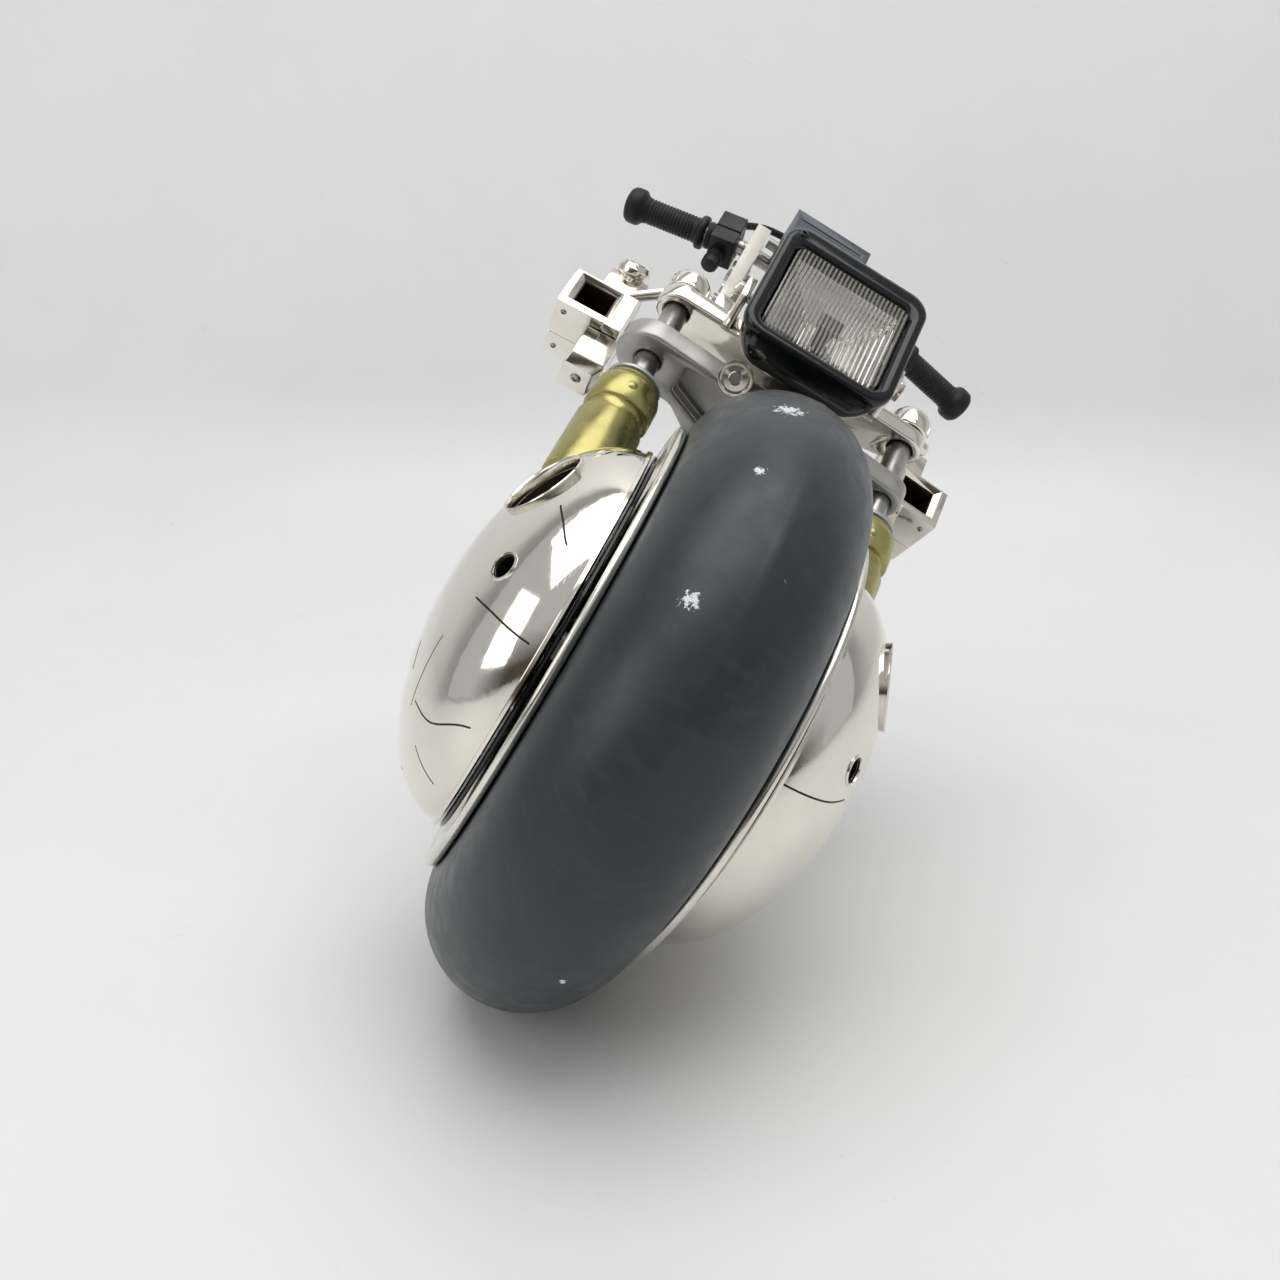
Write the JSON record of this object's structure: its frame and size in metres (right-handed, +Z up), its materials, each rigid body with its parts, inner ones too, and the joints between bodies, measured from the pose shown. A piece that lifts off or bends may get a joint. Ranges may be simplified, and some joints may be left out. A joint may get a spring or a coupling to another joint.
{
  "type": "unicycle",
  "caption": "Die-cast desk model of a motorised unicycle: one fat wheel with domed hub covers, steering fork, headlight, bars and intakes, leaning on its side stand with its nose raised.",
  "frame": {"origin": "on the floor, under the middle of the bounding box, with the model resting on its tyre, side stand and tail skid", "axes": "+Z up; the vehicle faces -Y and leans 31 degrees towards +X, its left; its fork and frame are pitched 45 degrees nose up"},
  "size_m": [0.0866, 0.151, 0.1036],
  "materials": {
    "tyre_rubber": "smooth slate-grey rubber with a soft sheen",
    "chrome": "bright warm chrome over die-cast metal",
    "satin_alloy": "satin grey cast alloy",
    "gold_anodised": "olive-gold metallic",
    "steel": "turned steel",
    "frame_paint": "gloss black paint",
    "gloss_black": "glossy black",
    "matte_black": "matt black",
    "black_rubber": "fine-grained black rubber",
    "engine_alloy": "grey cast metal, lightly grained",
    "lens_glass": "fluted clear glass",
    "red_lens": "clear red plastic",
    "seat_leather": "dark stitched leather"
  },
  "bodies": {
    "frame": {"main_frame": "frame_paint", "fuel_tank": "chrome", "seat_base": "frame_paint", "seat_cushion": "seat_leather", "tail_light": "red_lens", "engine_case": "engine_alloy", "clutch_cover": "chrome", "engine_cylinder": "engine_alloy", "exhaust": "chrome", "tail_skid": "frame_paint"},
    "front": {"lower_clamp": "satin_alloy", "upper_clamp": "chrome", "steering_stem": "steel", "fork_tube_left": "steel", "fork_tube_right": "steel", "fork_cap_left": "chrome", "fork_cap_right": "chrome", "intake_left": "chrome", "intake_right": "chrome", "reservoir_left": "chrome", "reservoir_right": "chrome", "intake_stay_left": "steel", "intake_stay_right": "steel", "riser_left": "chrome", "riser_right": "chrome", "handlebar": "steel", "grip_left": "black_rubber", "switch_pod_left": "matte_black", "switch_pod_right": "matte_black", "instrument_pod": "satin_alloy", "horn": "chrome", "throttle_cable": "matte_black", "headlight_bracket": "chrome"},
    "lower_fork": {"axle": "steel", "axle_nut": "steel", "hub_cover_left": "chrome", "hub_cover_right": "chrome", "cover_back_left": "matte_black", "cover_back_right": "matte_black", "fork_slider_left": "gold_anodised", "fork_slider_right": "gold_anodised", "fork_foot_left": "satin_alloy", "fork_foot_right": "satin_alloy", "fork_seal_left": "black_rubber", "fork_seal_right": "black_rubber"},
    "wheel": {"tyre": "tyre_rubber", "rim": "chrome", "wheel_hub": "satin_alloy", "hub_bush": "steel"},
    "headlight": {"headlight_shell": "gloss_black", "headlight_bezel": "gloss_black", "headlight_lens": "lens_glass", "headlight_reflector": "chrome", "headlight_bulb": "steel"},
    "throttle": {"grip_right": "black_rubber"},
    "filler_cap": {"fuel_cap": "steel"},
    "stand": {"side_stand": "frame_paint"},
    "peg_left": {"footpeg_left": "black_rubber"},
    "peg_right": {"footpeg_right": "black_rubber"},
    "shifter": {"gear_lever": "steel"}
  },
  "joints": [
    {"name": "steering", "type": "hinge", "parent": "frame", "child": "front", "pos_m": [0.00705, 0.01032, 0.06561], "axis": [0.361, 0.7071, 0.608], "range_deg": [-25, 25]},
    {"name": "fork_travel", "type": "slide", "parent": "front", "child": "lower_fork", "axis": [0.361, 0.7071, 0.608], "range_m": [0, 0.0035], "stiffness_N_per_m": 2000, "springref_m": -0.003},
    {"name": "wheel_spin", "type": "hinge", "parent": "lower_fork", "child": "wheel", "pos_m": [-0.00956, -0.03352, 0.03764], "axis": [0.8599, 0, -0.5105], "continuous": true},
    {"name": "headlight_tilt", "type": "hinge", "parent": "front", "child": "headlight", "pos_m": [0.01414, 0.00148, 0.0799], "axis": [0.8599, 0, -0.5105], "range_deg": [-8, 8]},
    {"name": "throttle_twist", "type": "hinge", "parent": "front", "child": "throttle", "pos_m": [-0.00512, 0.03525, 0.0973], "axis": [-0.919, 0.1591, 0.3607], "range_deg": [0, 70], "stiffness_Nm_per_rad": 0.0005, "springref_deg": -34.38},
    {"name": "fuel_cap_twist", "type": "hinge", "parent": "frame", "child": "filler_cap", "pos_m": [0.00452, 0.04214, 0.06135], "axis": [0.361, 0.7071, 0.608], "range_deg": [0, 90]},
    {"name": "side_stand_fold", "type": "hinge", "parent": "frame", "child": "stand", "pos_m": [-0.00931, 0.01315, 0.00986], "axis": [0.3625, -0.1459, 0.9205], "range_deg": [0, 70]},
    {"name": "footpeg_left_fold", "type": "hinge", "parent": "frame", "child": "peg_left", "pos_m": [-0.01074, 0.02814, 0.0094], "axis": [0.361, -0.7071, 0.608], "range_deg": [0, 80], "stiffness_Nm_per_rad": 0.001, "springref_deg": -28.65},
    {"name": "footpeg_right_fold", "type": "hinge", "parent": "frame", "child": "peg_right", "pos_m": [-0.03379, 0.02814, 0.02308], "axis": [-0.361, 0.7071, -0.608], "range_deg": [0, 80], "stiffness_Nm_per_rad": 0.001, "springref_deg": -28.65},
    {"name": "gear_lever_swing", "type": "hinge", "parent": "frame", "child": "shifter", "pos_m": [-0.01332, 0.01895, 0.00682], "axis": [0.8599, 0, -0.5105], "range_deg": [-12, 12], "stiffness_Nm_per_rad": 0.002}
  ]
}
